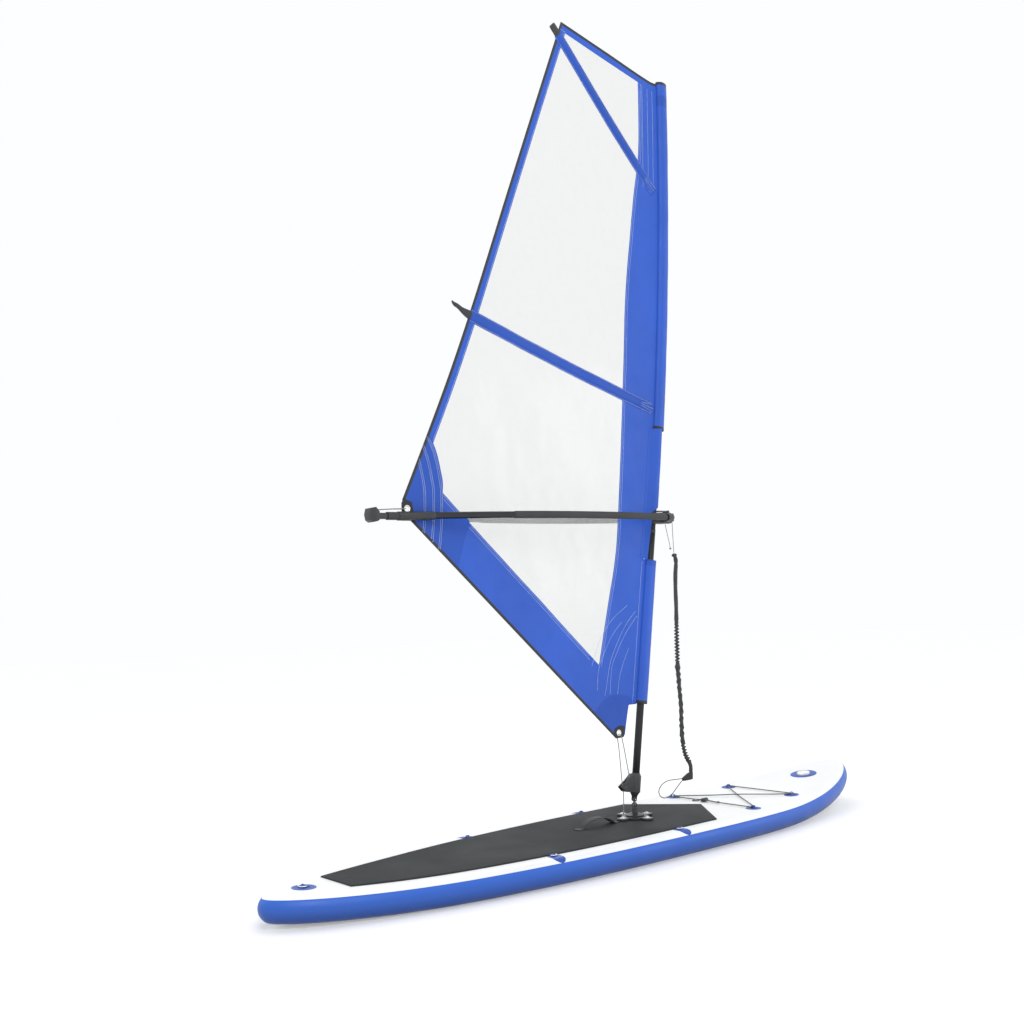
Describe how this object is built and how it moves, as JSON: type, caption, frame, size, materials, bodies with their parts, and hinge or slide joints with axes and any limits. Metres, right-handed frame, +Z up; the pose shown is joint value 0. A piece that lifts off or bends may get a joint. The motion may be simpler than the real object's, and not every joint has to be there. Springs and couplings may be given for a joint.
{
  "type": "inflatable windsurf board with rig",
  "caption": "Inflatable board with a rounded rail, foam deck pad, swivelling mast foot, bent mast, wishbone boom, uphaul rope and a film sail with battens",
  "frame": {"origin": "middle of the whole object's box in plan, on the level of the board's flat bottom", "axes": "+X towards the nose, +Y to port, +Z up the mast"},
  "size_m": [3.2996, 0.7196, 3.545],
  "materials": {
    "skin_white": "semi-gloss coated fabric",
    "skin_blue": "semi-gloss coated fabric",
    "threads": "matte",
    "pad_grey": "matte textured foam",
    "valve_white": "satin",
    "steel": "polished",
    "patch_blue": "semi-gloss coated fabric",
    "webbing_blue": "woven",
    "cord_grey": "braided",
    "plastic_black": "satin",
    "webbing_black": "woven",
    "plastic_white": "satin",
    "aluminium_tube": "anodised",
    "plastic_grey": "satin",
    "line_grey": "braided",
    "mast_grey": "satin glass fibre",
    "sail_blue": "satin sail cloth",
    "film_clear": "clear glossy film",
    "patch_dark_blue": "satin sail cloth",
    "batten_white": "satin",
    "grip_black": "matte textured foam",
    "rope_black": "braided"
  },
  "bodies": {
    "board": {"deck_skin": "skin_white", "bottom_skin": "skin_white", "rail_band": "skin_blue", "stitch_threads": "threads", "deck_pad": "pad_grey", "valve_body": "valve_white", "valve_spring": "steel", "anchor_patches": "patch_blue", "webbing_loops": "webbing_blue", "bungee_cord": "cord_grey", "cord_lock": "plastic_black", "carry_handle": "webbing_black", "fin_box": "plastic_white", "base_plate": "plastic_black", "base_screws": "steel", "base_stud": "steel"},
    "valve_cap": {"valve_cap": "valve_white"},
    "valve_pin": {"valve_pin": "valve_white"},
    "tail_ring": {"tail_ring": "steel"},
    "side_ring_1": {"side_ring_1": "steel"},
    "side_ring_2": {"side_ring_2": "steel"},
    "side_ring_3": {"side_ring_3": "steel"},
    "side_ring_4": {"side_ring_4": "steel"},
    "lock_button": {"lock_button": "plastic_black"},
    "swivel": {"swivel_hub": "plastic_black"},
    "sheave": {"downhaul_sheave": "plastic_grey"},
    "head_lever": {"head_lever": "plastic_grey"},
    "boom_tail": {"boom_tail": "plastic_black"},
    "link": {"joint_link": "plastic_black", "link_pins": "steel"},
    "rig": {"upper_yoke": "plastic_black", "extension_collar": "plastic_black", "extension_tube": "aluminium_tube", "downhaul_line": "line_grey", "mast_lower": "mast_grey", "mast_upper": "mast_grey", "mast_ferrule": "aluminium_tube", "mast_cap": "plastic_black", "sleeve_lower": "sail_blue", "sleeve_upper": "sail_blue", "luff_panel": "sail_blue", "foot_panel": "sail_blue", "window_top": "film_clear", "window_middle": "film_clear", "window_lower": "film_clear", "sail_tapes": "sail_blue", "corner_patches": "patch_dark_blue", "battens": "batten_white", "batten_caps": "plastic_black", "sail_eyelets": "steel", "boom_head": "plastic_black", "boom_arm_port": "aluminium_tube", "boom_arm_starboard": "aluminium_tube", "boom_grips": "grip_black", "boom_yoke": "plastic_black", "outhaul_line": "line_grey", "uphaul_line": "line_grey", "uphaul_rope": "rope_black", "uphaul_fitting": "plastic_black", "uphaul_loop": "line_grey"}
  },
  "joints": [
    {"name": "base_swivel", "type": "hinge", "parent": "board", "child": "swivel", "pos_m": [0.12, 0, 0.115], "axis": [0, 0, 1], "continuous": true},
    {"name": "side_tilt", "type": "hinge", "parent": "swivel", "child": "link", "pos_m": [0.12, 0, 0.163], "axis": [1, 0, 0], "range_deg": [-75, 75]},
    {"name": "fore_aft_tilt", "type": "hinge", "parent": "link", "child": "rig", "pos_m": [0.12, 0, 0.185], "axis": [0, 1, 0], "range_deg": [-40, 60], "deforming": ["uphaul_line", "uphaul_rope", "uphaul_fitting", "uphaul_loop", "downhaul_line"]},
    {"name": "downhaul_sheave_spin", "type": "hinge", "parent": "rig", "child": "sheave", "pos_m": [0.062, 0, 0.247], "axis": [0, 1, 0], "continuous": true},
    {"name": "head_lever_hinge", "type": "hinge", "parent": "rig", "child": "head_lever", "pos_m": [0.40654, 0, 1.43584], "axis": [0, 1, 0], "range_deg": [0, 110]},
    {"name": "boom_tail_slide", "type": "slide", "parent": "rig", "child": "boom_tail", "axis": [-0.9998, 0, -0.0201], "range_m": [0, 0.04], "deforming": ["outhaul_line"]},
    {"name": "tail_ring_flap", "type": "hinge", "parent": "board", "child": "tail_ring", "pos_m": [-1.48476, 0, 0.11722], "axis": [0, 1, 0], "range_deg": [0, 170]},
    {"name": "side_ring_1_flap", "type": "hinge", "parent": "board", "child": "side_ring_1", "pos_m": [-0.59, 0.26105, 0.10593], "axis": [1, 0, 0], "range_deg": [0, 170]},
    {"name": "side_ring_2_flap", "type": "hinge", "parent": "board", "child": "side_ring_2", "pos_m": [-0.59, -0.26105, 0.10593], "axis": [-1, 0, 0], "range_deg": [0, 170]},
    {"name": "side_ring_3_flap", "type": "hinge", "parent": "board", "child": "side_ring_3", "pos_m": [0.075, 0.28949, 0.10593], "axis": [1, 0, 0], "range_deg": [0, 170]},
    {"name": "side_ring_4_flap", "type": "hinge", "parent": "board", "child": "side_ring_4", "pos_m": [0.075, -0.28949, 0.10593], "axis": [-1, 0, 0], "range_deg": [0, 170]},
    {"name": "valve_cap_turn", "type": "hinge", "parent": "board", "child": "valve_cap", "pos_m": [1.34025, 0, 0.14906], "axis": [-0.1432, 0, 0.9897], "range_deg": [0, 90]},
    {"name": "valve_pin_push", "type": "slide", "parent": "board", "child": "valve_pin", "axis": [0.1432, 0, -0.9897], "range_m": [0, 0.004], "stiffness_N_per_m": 800, "springref_m": -0.004, "deforming": ["valve_spring"]},
    {"name": "cord_lock_push", "type": "slide", "parent": "board", "child": "lock_button", "axis": [-1, 0, 0], "range_m": [0, 0.004], "stiffness_N_per_m": 1200, "springref_m": -0.002}
  ]
}
